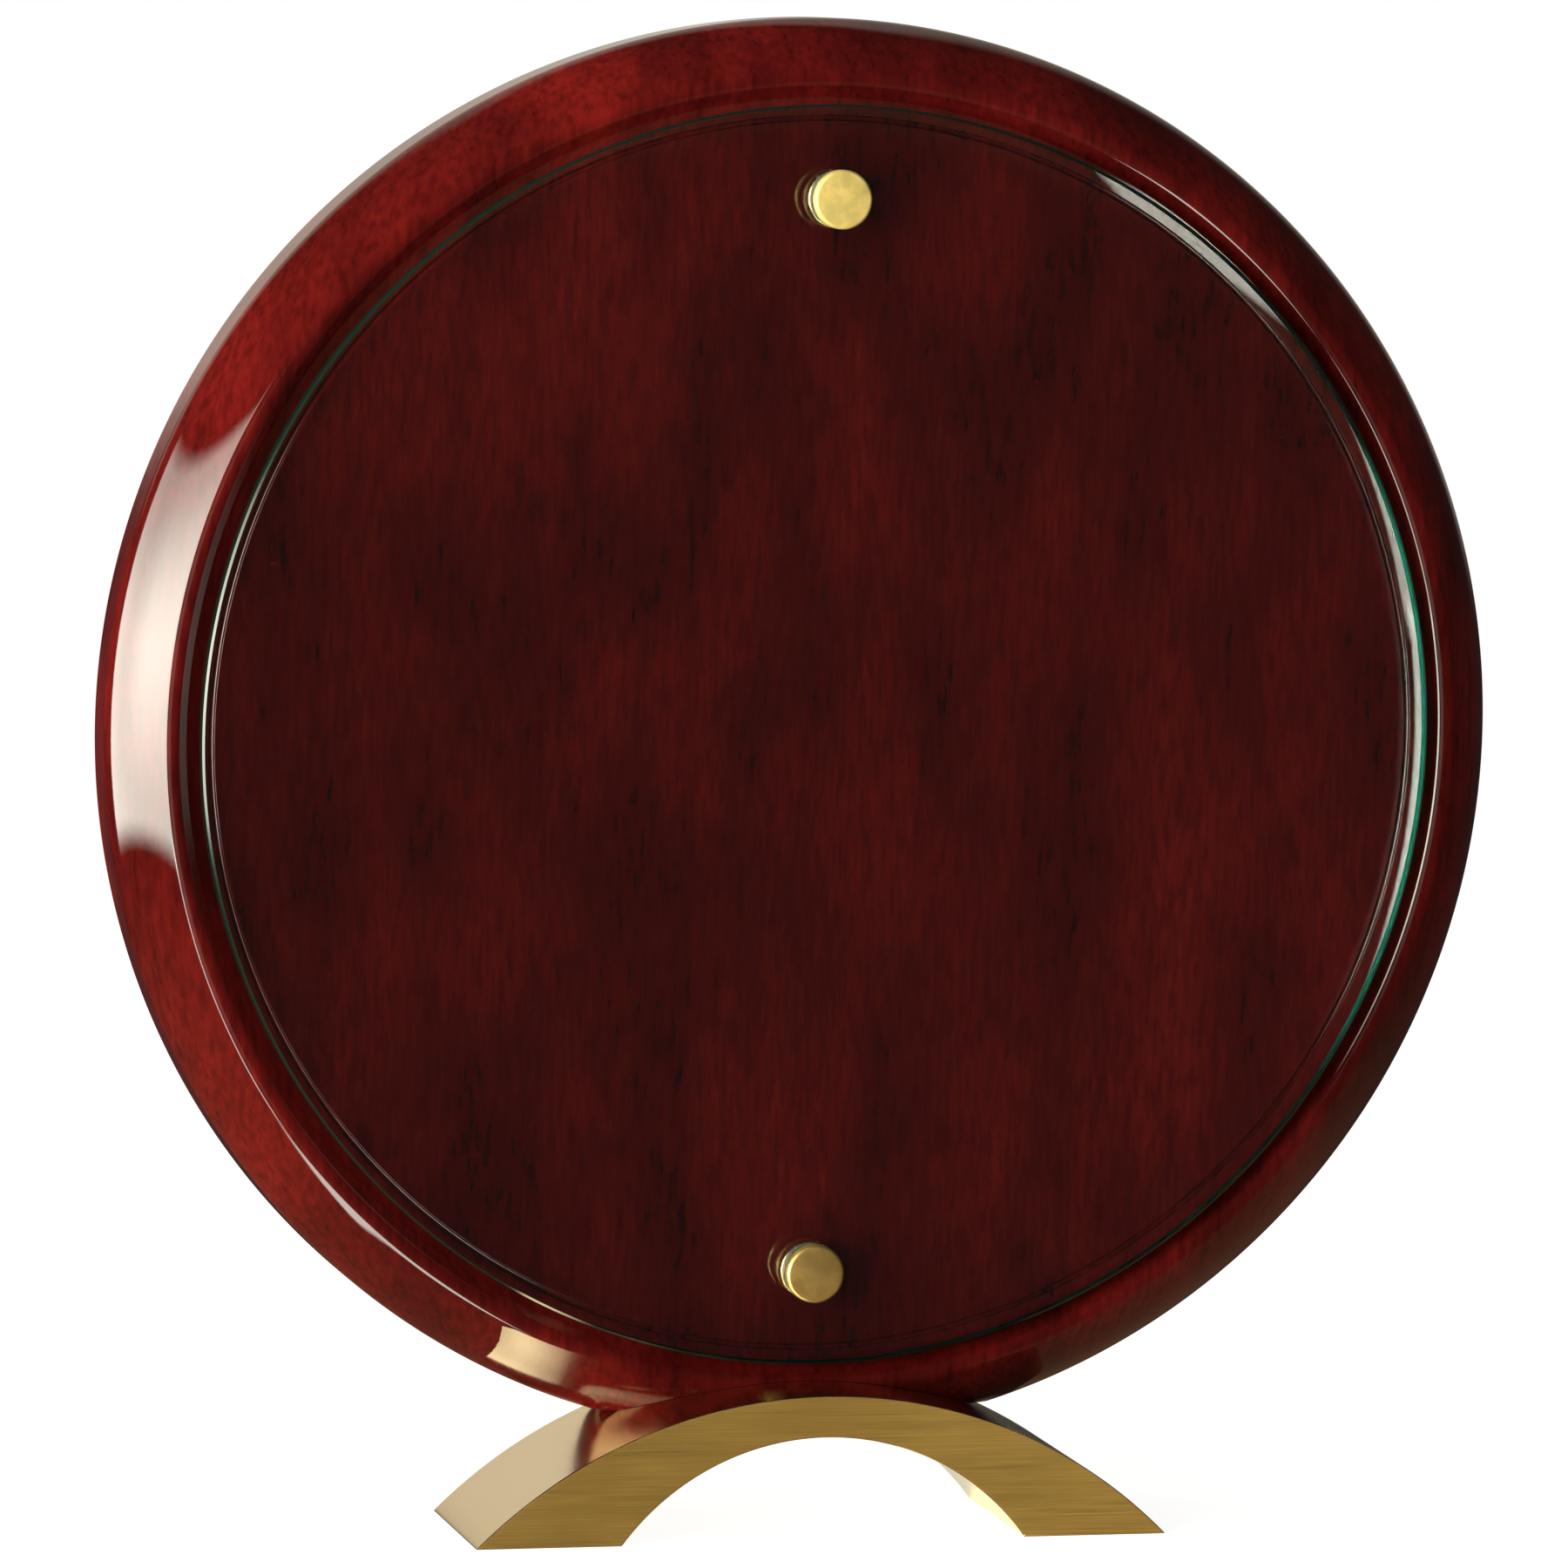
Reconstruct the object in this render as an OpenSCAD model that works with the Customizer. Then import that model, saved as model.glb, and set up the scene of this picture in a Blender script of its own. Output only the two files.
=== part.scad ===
// Round standing award plaque: a lacquered rosewood board on a gold arch,
// with a clear glass disc held off the board's dished face by two screw-on
// standoffs. Millimetres, +Z up, the front faces -Y. The origin is under the
// middle of the arch, on the surface that the feet stand on.

/* [Board] */
// Diameter of the round board
board_d = 228.6; // [226:0.2:232]
// Thickness of the board, from the crest of its rim to its back
board_t = 19; // [18:0.5:24]
// Height of the board's centre above the floor
board_z = 127.3; // [127:0.1:136]
// Height of the flat foot along the board's bottom
board_foot_z = 18; // [17.5:0.1:19]

/* [Board rim] */
// Radius of the edge roll, where the bevel turns into the side
edge_roll_r = 4; // [2:0.5:5]
// Radius of the bevel's gentle crown
bevel_r = 20; // [16:1:22]
// Steepest slope of the bevel, in degrees
bevel_steep = 62; // [55:1:66]
// Slope of the bevel where it leaves the crest, in degrees
bevel_shallow = 30; // [26:1:34]
// Radius of the crest of the rim
crest_roll_r = 2.6; // [2:0.1:3.2]
// Steepest slope of the cove inside the crest, in degrees
cove_steep = 34; // [31:1:38]
// Slope of the cove at its foot, in degrees
cove_shallow = 25; // [22:1:28]
// Radius of the cove
cove_r = 27; // [22:1:30]
// Radius of the fine groove at the cove's foot
quirk_r = 0.45; // [0.3:0.05:0.6]
// Radius of the turned-up edge of the dished face
dish_r = 16; // [12:1:20]
// Slope of the dished face where it meets the groove, in degrees
dish_slope = 15; // [10:1:18]

/* [Glass] */
// Diameter of the glass disc
glass_d = 201.4; // [198:0.2:202]
// Thickness of the glass disc
glass_t = 3.2; // [3:0.1:4]
// Diameter of the two drilled holes in the glass
glass_hole_d = 5; // [4.6:0.1:6]
// Polished chamfer along the glass's edges
glass_arris = 0.35; // [0.1:0.05:0.5]

/* [Standoffs] */
// Distance of each standoff from the board's centre
standoff_reach = 85.8; // [80:0.2:88]
// Diameter of the caps and of the barrels' collars
cap_d = 9.4; // [9:0.1:11]
// Thickness of a cap's head
cap_t = 1.8; // [1.5:0.1:3]
// Length of a barrel's collar, which sets the gap behind the glass
collar_t = 2; // [2:0.1:4]
// Thickness of the clear washers on both faces of the glass
washer_t = 0.3; // [0.2:0.1:0.5]
// Major diameter of the standoffs' threads
thread_d = 4; // [4:0.1:4.4]
// Pitch of the standoffs' threads
thread_pitch = 0.7; // [0.5:0.05:0.8]
// Turns of a cap's stud in its barrel
thread_turns = 8; // [6:1:8]

/* [Arch base] */
// Height of the arch's crown
arch_h = 23.5; // [23.4:0.1:24]
// Thickness of the arch at its crown
arch_t = 6.7; // [6.5:0.1:7]
// Depth of the arch, front to back
arch_depth = 33; // [33:0.5:38]
// Radius of the arch's top
arch_outer_r = 80.4; // [79:0.2:82]
// Radius of the arch's underside
arch_inner_r = 41.1; // [40:0.1:42]

/* [Hidden] */

$fn = 144;
arc_steps = 8;            // straight steps in each bend of the board's section
overcut = 1;              // how far cutting shapes run past what they cut
slip = 0.05;              // radial clearance of glued and threaded pairs
back_roll_r = 1;          // rounding along the board's back edge

// planes along Y
back_y = arch_depth / 2;
crest_y = back_y - board_t;

// section of the board, as arcs joined end to end. A slope is positive where
// the surface rises towards the front as it runs outwards.
function bend(from, radius, s0, s1) =
    let (turn = sign(s1 - s0))
    [for (i = [1:arc_steps])
        let (s = s0 + (s1 - s0) * i / arc_steps)
        from + radius * turn * [sin(s) - sin(s0), cos(s) - cos(s0)]];
function last(points) = points[len(points) - 1];

dish = bend([0, 0], dish_r, 0, dish_slope);
quirk = bend(last(dish), quirk_r, -90, 90);
cove = bend(last(quirk), cove_r, cove_shallow, cove_steep);
crest = bend(last(cove), crest_roll_r, cove_steep, -bevel_shallow);
bevel = bend(last(crest), bevel_r, -bevel_shallow, -bevel_steep);
edge_roll = bend(last(bevel), edge_roll_r, -bevel_steep, -90);
rim = concat([[0, 0]], dish, quirk, cove, crest, bevel, edge_roll);
crest_rise = max([for (p = rim) -p.y]);
floor_r = board_d / 2 - last(rim).x;
floor_y = crest_y + crest_rise;
outline = [for (p = rim) [floor_r + p.x, floor_y + p.y]];
back_corner = [board_d / 2, back_y - back_roll_r];
back_edge = bend(back_corner, back_roll_r, -90, -180);
section = concat([[0, floor_y]], outline, [back_corner], back_edge, [[0, back_y]]);

// standoff stack, from the dished face forwards
collar_front_y = floor_y - collar_t;
glass_back_y = collar_front_y - washer_t;
glass_front_y = glass_back_y - glass_t;
cap_back_y = glass_front_y - washer_t;
cap_front_y = cap_back_y - cap_t;
thread_depth = thread_pitch * thread_turns;
stud_r = thread_d / 2 - slip;
stud_end_y = collar_front_y + thread_depth;
cap_rim_r = 0.5;
washer_inset = 0.2;       // how far a washer's edge stays inside the cap's
washer_play = 0.2;        // radial play of a washer on the stud

// barrels and the screws that hold them from behind
shank_r = 3.5;
shank_l = 9;
shank_end_y = floor_y + shank_l;
fixing_counterbore_r = 4.5;
fixing_counterbore_l = 4.2;
fixing_seat_y = back_y - fixing_counterbore_l;
fixing_play = 0.25;
fixing_head_r = 3.8;
fixing_head_t = 2.4;
fixing_grip = 4.4;        // length of the screw inside the barrel

// arch and its screws
arch_outer_z = arch_h - arch_outer_r;
arch_inner_z = arch_h - arch_t - arch_inner_r;
base_screw_x = 10;
base_screw_y = crest_y + 10.5;
base_seat_z = 18.4;
base_head_r = 3.5;
base_head_t = 2.2;
base_counterbore_r = 3.8;
base_screw_top_z = 31;
insert_r = 3.25;
insert_l = 9;
insert_bottom_z = 23.6;
socket_across = 2.9;      // across the corners of the hexagon sockets
socket_depth = 1.4;

rosewood = "#5a1312";
clear_glass = [0.75, 0.92, 0.87, 0.4];
gold = "#c9a24e";
clear_washer = "#e3e3dc";
plain_brass = "#b89a4a";
plated_steel = "#a9a9a4";

// turns a solid that stands along +Z so that it runs from front to back
module along_y(x, y, z) {
    translate([x, y, z]) rotate([-90, 0, 0]) children();
}

// a round bar along Y between two planes
module bar_y(radius, y0, y1, x = 0, z = 0) {
    along_y(x, y0, z) cylinder(r = radius, h = y1 - y0);
}

function standoff_z(side) = board_z + side * standoff_reach;

module board_blank() {
    along_y(0, 0, board_z)
        rotate_extrude($fn = 180) polygon(section);
}

module standoff_bores(side) {
    z = standoff_z(side);
    bar_y(shank_r + slip, floor_y - overcut, shank_end_y, z = z);
    bar_y(thread_d / 2 + fixing_play, floor_y, back_y, z = z);
    bar_y(fixing_counterbore_r, fixing_seat_y, back_y + overcut, z = z);
}

module insert_bore(x) {
    translate([x, base_screw_y, board_foot_z - overcut])
        cylinder(r = insert_r + slip, h = insert_bottom_z + insert_l + overcut - board_foot_z);
}

module board() {
    color(rosewood) difference() {
        board_blank();
        translate([-board_d, -board_d, -overcut])
            cube([2 * board_d, 2 * board_d, board_foot_z + overcut]);
        bar_y(arch_outer_r + slip, -arch_depth, arch_depth, z = arch_outer_z);
        for (side = [-1, 1]) {
            standoff_bores(side);
            insert_bore(side * base_screw_x);
        }
    }
}

module glass_disc() {
    edge_r = glass_d / 2;
    flat_r = edge_r - glass_arris;
    color(clear_glass) difference() {
        along_y(0, glass_front_y, board_z) rotate_extrude($fn = 180)
            polygon([[0, 0], [flat_r, 0], [edge_r, glass_arris],
                [edge_r, glass_t - glass_arris], [flat_r, glass_t], [0, glass_t]]);
        for (side = [-1, 1])
            bar_y(glass_hole_d / 2, glass_front_y - overcut, glass_back_y + overcut,
                z = standoff_z(side));
    }
}

module cap(side) {
    rim_bend = bend([cap_d / 2 - cap_rim_r, 0], cap_rim_r, 0, -90);
    color(gold) along_y(0, cap_front_y, standoff_z(side)) rotate_extrude($fn = 72)
        polygon(concat([[0, 0], [cap_d / 2 - cap_rim_r, 0]], rim_bend,
            [[cap_d / 2, cap_t], [stud_r, cap_t],
             [stud_r, stud_end_y - cap_front_y], [0, stud_end_y - cap_front_y]]));
}

module washer(side, y0) {
    z = standoff_z(side);
    color(clear_washer) difference() {
        bar_y(cap_d / 2 - washer_inset, y0, y0 + washer_t, z = z, $fn = 72);
        bar_y(stud_r + washer_play, y0 - overcut, y0 + washer_t + overcut, z = z, $fn = 72);
    }
}

module barrel(side) {
    z = standoff_z(side);
    color(gold) difference() {
        union() {
            bar_y(cap_d / 2, collar_front_y, floor_y, z = z, $fn = 72);
            bar_y(shank_r, collar_front_y, shank_end_y, z = z, $fn = 72);
        }
        bar_y(thread_d / 2, collar_front_y - overcut, shank_end_y + overcut, z = z, $fn = 72);
    }
}

// a screw that stands on its head's bearing face, with its shank along +Z
module machine_screw(head_r, head_t, shank_len) {
    difference() {
        union() {
            translate([0, 0, -head_t]) cylinder(r = head_r, h = head_t, $fn = 72);
            cylinder(r = stud_r, h = shank_len, $fn = 72);
        }
        translate([0, 0, -head_t - overcut])
            cylinder(d = socket_across, h = socket_depth + overcut, $fn = 6);
    }
}

module fixing_screws() {
    color(plated_steel) for (side = [-1, 1])
        translate([0, fixing_seat_y, standoff_z(side)]) rotate([90, 0, 0])
            machine_screw(fixing_head_r, fixing_head_t,
                fixing_seat_y - shank_end_y + fixing_grip);
}

module base_screws() {
    color(plated_steel) for (side = [-1, 1])
        translate([side * base_screw_x, base_screw_y, base_seat_z])
            machine_screw(base_head_r, base_head_t, base_screw_top_z - base_seat_z);
}

module base_inserts() {
    color(plain_brass) for (side = [-1, 1])
        translate([side * base_screw_x, base_screw_y, insert_bottom_z]) difference() {
            cylinder(r = insert_r, h = insert_l, $fn = 72);
            translate([0, 0, -overcut])
                cylinder(r = thread_d / 2, h = insert_l + 2 * overcut, $fn = 72);
        }
}

module arch_side() {
    difference() {
        translate([0, arch_outer_z]) circle(r = arch_outer_r, $fn = 360);
        translate([0, arch_inner_z]) circle(r = arch_inner_r, $fn = 360);
        translate([-2 * arch_outer_r, -2 * arch_outer_r])
            square([4 * arch_outer_r, 2 * arch_outer_r]);
    }
}

module base_screw_bore(x) {
    translate([x, base_screw_y, 0]) {
        cylinder(r = base_counterbore_r, h = base_seat_z, $fn = 72);
        cylinder(r = thread_d / 2 + fixing_play, h = arch_h + overcut, $fn = 72);
    }
}

module arch_base() {
    color(gold) difference() {
        translate([0, back_y, 0]) rotate([90, 0, 0])
            linear_extrude(arch_depth) arch_side();
        for (side = [-1, 1]) base_screw_bore(side * base_screw_x);
    }
}

board();
glass_disc();
arch_base();
cap(1);  // upper_cap
cap(-1);  // lower_cap
washer(1, cap_back_y);  // upper_front_washer
washer(-1, cap_back_y);  // lower_front_washer
washer(1, glass_back_y);  // upper_rear_washer
washer(-1, glass_back_y);  // lower_rear_washer
barrel(1);  // upper_barrel
barrel(-1);  // lower_barrel
fixing_screws();
base_screws();
base_inserts();
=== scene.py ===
"""A round standing award plaque: a lacquered rosewood board on a gold arch, with a clear glass
disc held off its dished face by two screw-on standoffs. Metres, +Z up, the front faces -Y."""

import math

import bmesh
import bpy
import numpy as np
from mathutils import Euler, Matrix, Vector


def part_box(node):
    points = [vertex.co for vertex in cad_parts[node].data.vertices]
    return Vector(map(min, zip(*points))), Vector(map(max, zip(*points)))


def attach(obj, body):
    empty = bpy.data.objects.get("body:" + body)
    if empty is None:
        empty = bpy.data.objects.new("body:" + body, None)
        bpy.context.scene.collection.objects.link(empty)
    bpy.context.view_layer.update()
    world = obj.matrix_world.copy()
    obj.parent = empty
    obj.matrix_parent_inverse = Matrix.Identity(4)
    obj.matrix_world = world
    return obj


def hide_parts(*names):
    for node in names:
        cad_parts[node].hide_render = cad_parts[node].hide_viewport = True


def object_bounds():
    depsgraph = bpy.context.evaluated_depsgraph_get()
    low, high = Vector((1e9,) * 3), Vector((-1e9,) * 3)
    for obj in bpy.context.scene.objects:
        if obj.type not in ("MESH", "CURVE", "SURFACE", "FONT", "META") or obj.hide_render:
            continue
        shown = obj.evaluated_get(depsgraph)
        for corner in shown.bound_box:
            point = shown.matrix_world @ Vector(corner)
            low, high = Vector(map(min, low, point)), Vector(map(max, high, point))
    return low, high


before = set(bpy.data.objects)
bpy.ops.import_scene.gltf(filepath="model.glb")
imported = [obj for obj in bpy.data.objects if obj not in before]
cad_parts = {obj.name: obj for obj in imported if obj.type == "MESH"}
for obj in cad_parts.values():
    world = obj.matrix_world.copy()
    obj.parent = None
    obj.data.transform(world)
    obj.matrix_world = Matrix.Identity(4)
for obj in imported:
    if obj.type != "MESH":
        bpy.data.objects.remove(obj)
cad_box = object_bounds()

MM = 0.001
ROOT = "stand_and_glass"
SIDES = ("upper", "lower")


def node_size(node):
    """Middle and size of a CAD node's box."""
    low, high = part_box(node)
    return (low + high) / 2, high - low


board_low, board_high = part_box("board")
glass_mid, glass_size = node_size("glass_disc")
arch_low, arch_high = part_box("arch_base")
CENTRE_Z = glass_mid.z
STANDOFF_Z = {side: node_size(side + "_cap")[0].z for side in SIDES}

# ---------------------------------------------------------------- camera

AIM_FROM_CENTRE = Vector((-5.6, 0, -1.1)) * MM
CAMERA_DISTANCE = 1.283
# In degrees: to the left of the front, above the horizon, and turned about the line of sight
CAMERA_YAW = 14.455
CAMERA_PITCH = 5.703
CAMERA_ROLL = 1.465
LENS_MM = 184.5
SENSOR_MM = 36
FAR_CLIP = 20


def make_camera():
    """A long lens, a little left of the front and a little above."""
    data = bpy.data.cameras.new("camera")
    data.lens = LENS_MM
    data.sensor_width = SENSOR_MM
    data.clip_end = FAR_CLIP
    camera = bpy.data.objects.new("camera", data)
    yaw, pitch, roll = (math.radians(v) for v in (CAMERA_YAW, CAMERA_PITCH, CAMERA_ROLL))
    turn = (
        Euler((math.pi / 2 - pitch, 0, -yaw)).to_matrix() @ Matrix.Rotation(roll, 3, "Z")
    )
    aim = (cad_box[0] + cad_box[1]) / 2 + AIM_FROM_CENTRE
    camera.matrix_world = Matrix.Translation(
        aim + turn @ Vector((0, 0, CAMERA_DISTANCE))
    ) @ turn.to_4x4()
    bpy.context.scene.collection.objects.link(camera)
    bpy.context.scene.camera = camera


# ---------------------------------------------------------------- node helpers


class Nodes:
    """Short calls for building a node tree."""

    def __init__(self, tree):
        self.tree = tree
        tree.nodes.clear()

    def add(self, kind, **settings):
        node = self.tree.nodes.new(kind)
        for name, value in settings.items():
            setattr(node, name, value)
        return node

    def put(self, socket, value):
        if isinstance(value, bpy.types.NodeSocket):
            self.tree.links.new(value, socket)
        else:
            socket.default_value = value

    def math(self, operation, *values):
        node = self.add("ShaderNodeMath", operation=operation)
        for socket, value in zip(node.inputs, values):
            self.put(socket, value)
        return node.outputs[0]

    def times(self, product, *values):
        """The product of all the values."""
        for value in values:
            product = self.math("MULTIPLY", product, value)
        return product

    def line(self, value, slope, start):
        """slope times value, plus start."""
        return self.math("MULTIPLY_ADD", value, slope, start)

    def inverse(self, value):
        return self.math("SUBTRACT", 1, value)

    def step(self, value, low, high):
        """0 below low and 1 above high, smooth in between."""
        node = self.add("ShaderNodeMapRange", interpolation_type="SMOOTHSTEP")
        self.put(node.inputs["Value"], value)
        self.put(node.inputs["From Min"], low)
        self.put(node.inputs["From Max"], high)
        return node.outputs[0]

    def band(self, value, low, high, soft):
        """1 between low and high, with edges soft wide."""
        return self.times(
            self.step(value, low - soft / 2, low + soft / 2),
            self.inverse(self.step(value, high - soft / 2, high + soft / 2)),
        )

    def mix(self, factor, first, second):
        """first where factor is 0, and second where it is 1."""
        node = self.add("ShaderNodeMix", data_type="RGBA")
        self.put(node.inputs["Factor"], factor)
        self.put(node.inputs[6], first)
        self.put(node.inputs[7], second)
        return node.outputs[2]

    def scaled(self, colour, amount):
        """A colour times a number."""
        node = self.add("ShaderNodeVectorMath", operation="SCALE")
        self.put(node.inputs[0], colour)
        self.put(node.inputs["Scale"], amount)
        return node.outputs[0]

    def sum(self, first, second):
        """Two colours added."""
        node = self.add("ShaderNodeVectorMath", operation="ADD")
        self.put(node.inputs[0], first)
        self.put(node.inputs[1], second)
        return node.outputs[0]

    def xyz(self, vector):
        node = self.add("ShaderNodeSeparateXYZ")
        self.put(node.inputs[0], vector)
        return node.outputs

    def position(self):
        """Object coordinates, which are the frame's own metres."""
        return self.add("ShaderNodeTexCoord").outputs["Object"]

    def stretched(self, scale, offset=(0, 0, 0)):
        """Object coordinates times a scale for each axis."""
        node = self.add("ShaderNodeMapping")
        self.put(node.inputs["Vector"], self.position())
        node.inputs["Scale"].default_value = scale
        node.inputs["Location"].default_value = offset
        return node.outputs[0]

    def noise(self, scale, detail=3.0, rough=0.5, offset=(0, 0, 0), distortion=0.0):
        """Smooth noise, with scale patches to the metre along x, y and z."""
        node = self.add("ShaderNodeTexNoise")
        self.put(node.inputs["Vector"], self.stretched(scale, offset))
        node.inputs["Scale"].default_value = 1.0
        node.inputs["Detail"].default_value = detail
        node.inputs["Roughness"].default_value = rough
        node.inputs["Distortion"].default_value = distortion
        return node.outputs["Fac"]

    def bump(self, height, distance):
        """A normal for a surface that rises by distance, in metres, where height is 1."""
        node = self.add("ShaderNodeBump")
        node.inputs["Distance"].default_value = distance
        self.put(node.inputs["Height"], height)
        return node.outputs[0]

    def principled(self, **sockets):
        """A Principled shader on the output. Socket names have _ for a space."""
        shader = self.add("ShaderNodeBsdfPrincipled")
        for name, value in sockets.items():
            self.put(shader.inputs[name.replace("_", " ")], value)
        self.output(shader.outputs[0])
        return shader

    def output(self, shader, volume=None):
        node = self.add("ShaderNodeOutputMaterial")
        self.put(node.inputs["Surface"], shader)
        if volume is not None:
            self.put(node.inputs["Volume"], volume)


def new_material(name):
    material = bpy.data.materials.new(name)
    material.use_nodes = True
    return material, Nodes(material.node_tree)


# ---------------------------------------------------------------- materials

STAIN_DARK = (0.068, 0.0036, 0.0031, 1)
STAIN_LIGHT = (0.104, 0.0052, 0.0043, 1)
STAVE_JOINTS = ((-21 * MM, 0.3), (43 * MM, 0.22))  # x and darkness of the joints in the veneer
LACQUER_RIPPLE = 0.004 * MM
PORE_DARKNESS = 0.28
GLASS_IOR = 1.52
GLASS_TINT = (0.0, 0.87, 0.6, 1)
GLASS_TINT_DENSITY = 14.0
EDGE_DARK = (0.003, 0.012, 0.008, 1)
EDGE_GREEN = (0.006, 0.15, 0.10, 1)
EDGE_PALE_GREEN = (0.012, 0.22, 0.15, 1)
ACRYLIC_IOR = 1.49
BRUSHED_DARK = (0.49, 0.30, 0.075, 1)
BRUSHED_LIGHT = (0.57, 0.36, 0.10, 1)
BRUSH_DEPTH = 0.012 * MM
POLISHED_DARK = (0.84, 0.66, 0.38, 1)
POLISHED_LIGHT = (0.90, 0.73, 0.46, 1)
CLOUD_DARKNESS = 0.82


def rosewood():
    """Red-stained rosewood veneer, grain upright, under a clear high-gloss lacquer."""
    material, n = new_material("rosewood_lacquer")
    x = n.xyz(n.position())[0]
    figure = n.noise((26, 26, 7), detail=4, rough=0.55, distortion=0.6)
    cloud = n.noise((60, 60, 24), detail=3, offset=(3, 1, 7))
    fibre = n.noise((950, 950, 150), detail=3, rough=0.6)
    streak = n.noise((240, 240, 22), detail=3, offset=(5, 2, 1))
    pore_noise = n.noise((850, 850, 170), detail=2, rough=0.5, offset=(1, 9, 4))
    pore_zone = n.step(n.noise((90, 90, 45), detail=2, offset=(8, 3, 2)), 0.1, 0.5)
    pores = n.times(n.step(pore_noise, 0.45, 0.66), pore_zone)

    tone = n.times(
        n.line(n.step(figure, 0.3, 0.7), 0.42, 0.7),
        n.line(cloud, 0.7, 0.65),
        n.line(streak, 0.4, 0.78),
        n.line(fibre, 1.2, 0.38),
    )
    for place, darkness in STAVE_JOINTS:
        seam = n.band(x, place - 1.5 * MM, place + 0.3 * MM, 3.2 * MM)
        tone = n.times(tone, n.line(seam, -darkness, 1))
    tone = n.times(tone, n.line(pores, -PORE_DARKNESS, 1))

    stain = n.mix(n.step(cloud, 0.35, 0.65), STAIN_DARK, STAIN_LIGHT)
    ripple = n.noise((420, 420, 260), detail=3, rough=0.6, offset=(2, 6, 3))
    n.principled(
        Base_Color=n.scaled(stain, tone),
        Roughness=0.45,
        Specular_IOR_Level=0.0,
        Coat_Weight=1.0,
        Coat_Roughness=0.015,
        Coat_IOR=1.5,
        Coat_Normal=n.bump(ripple, LACQUER_RIPPLE),
    )
    return material


def clear_glass():
    """Float glass, tinted green through its depth, with faint smears on its faces."""
    material, n = new_material("clear_glass")
    shader = n.add("ShaderNodeBsdfPrincipled")
    smear = n.noise((35, 35, 35), detail=3)
    n.put(shader.inputs["Base Color"], (1, 1, 1, 1))
    n.put(shader.inputs["Roughness"], n.times(n.step(smear, 0.62, 0.8), 0.012))
    shader.inputs["IOR"].default_value = GLASS_IOR
    shader.inputs["Transmission Weight"].default_value = 1.0
    absorb = n.add("ShaderNodeVolumeAbsorption")
    absorb.inputs["Color"].default_value = GLASS_TINT
    absorb.inputs["Density"].default_value = GLASS_TINT_DENSITY
    n.output(shader.outputs[0], absorb.outputs[0])
    return material


def glass_edge():
    """The disc's fine-ground rim: dark, and green on the right below the top, where the
    green is painted light shining through the glass."""
    material, n = new_material("glass_edge")
    grind = n.noise((1800, 1800, 1800), detail=2)
    x, _, z = n.xyz(n.position())[:3]
    # painted light: the rim is green only where light through the glass would light it, and dark
    # elsewhere
    painted_lit_green = n.times(n.step(x, 82 * MM, 98 * MM), n.step(z, 190 * MM, 150 * MM))
    green = n.mix(grind, EDGE_GREEN, EDGE_PALE_GREEN)
    n.principled(
        Base_Color=n.mix(painted_lit_green, EDGE_DARK, green),
        Roughness=n.line(grind, 0.1, 0.12),
        Specular_IOR_Level=0.5,
    )
    return material


def clear_plastic():
    """The thin clear washers."""
    material, n = new_material("clear_washer")
    haze = n.noise((900, 900, 900), detail=2)
    n.principled(
        Base_Color=n.mix(haze, (0.86, 0.86, 0.8, 1), (0.95, 0.95, 0.9, 1)),
        Roughness=n.line(haze, 0.15, 0.18),
        IOR=ACRYLIC_IOR,
        Transmission_Weight=0.75,
    )
    return material


def brushed_gold():
    """The arch's front and back: fine brush lines from side to side, with painted light that
    makes the metal paler to the right."""
    material, n = new_material("arch_gold_brushed")
    lines = n.noise((55, 55, 5200), detail=4, rough=0.7)
    coarse = n.noise((18, 18, 1500), detail=3, rough=0.6, offset=(4, 2, 8))
    patch = n.noise((40, 40, 90), detail=3, offset=(9, 1, 3))
    # painted light: the base colour grows paler towards the right, as if more light fell there
    painted_light_right = n.step(n.xyz(n.position())[0], -20 * MM, 75 * MM)
    grain = n.line(lines, 0.8, n.times(coarse, 0.2))
    tone = n.times(
        n.line(n.step(grain, 0.3, 0.7), 0.3, 0.8),
        n.line(patch, 0.3, 0.85),
        n.line(painted_light_right, 0.45, 0.97),
    )
    tangent = n.add("ShaderNodeTangent", direction_type="RADIAL", axis="Z")
    n.principled(
        Base_Color=n.scaled(n.mix(patch, BRUSHED_DARK, BRUSHED_LIGHT), tone),
        Metallic=1.0,
        Roughness=n.line(grain, 0.22, 0.36),
        Anisotropic=0.6,
        Tangent=tangent.outputs[0],
        Normal=n.bump(grain, BRUSH_DEPTH),
    )
    return material


def polished_gold():
    """The arch's top, underside and edges."""
    material, n = new_material("arch_gold_polished")
    cloud = n.noise((60, 25, 60), detail=3)
    wipe = n.noise((600, 30, 600), detail=3, rough=0.6, offset=(3, 7, 5))
    n.principled(
        Base_Color=n.mix(cloud, POLISHED_DARK, POLISHED_LIGHT),
        Metallic=1.0,
        Roughness=n.line(wipe, 0.1, 0.09),
        Normal=n.bump(wipe, 0.002 * MM),
    )
    return material


def standoff_gold(name, roughness, colour):
    """Satin gold: a fine blasted face with faint clouds in its colour and shine."""
    material, n = new_material(name)
    blast = n.noise((9000, 9000, 9000), detail=2)
    cloud = n.noise((380, 380, 380), detail=3, rough=0.6)
    deep = tuple(CLOUD_DARKNESS * c for c in colour[:3]) + (1,)
    n.principled(
        Base_Color=n.mix(n.step(cloud, 0.3, 0.7), deep, colour),
        Metallic=1.0,
        Roughness=n.line(cloud, 0.12, roughness),
        Normal=n.bump(blast, 0.002 * MM),
    )
    return material


def turned_metal(name, dark, light, roughness):
    """Plated or plain turned hardware."""
    material, n = new_material(name)
    cloud = n.noise((500, 500, 500), detail=3, rough=0.6)
    rings = n.noise((5000, 300, 5000), detail=2)
    n.principled(
        Base_Color=n.mix(cloud, dark, light),
        Metallic=1.0,
        Roughness=n.line(cloud, 0.2, roughness),
        Normal=n.bump(rings, 0.003 * MM),
    )
    return material


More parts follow.
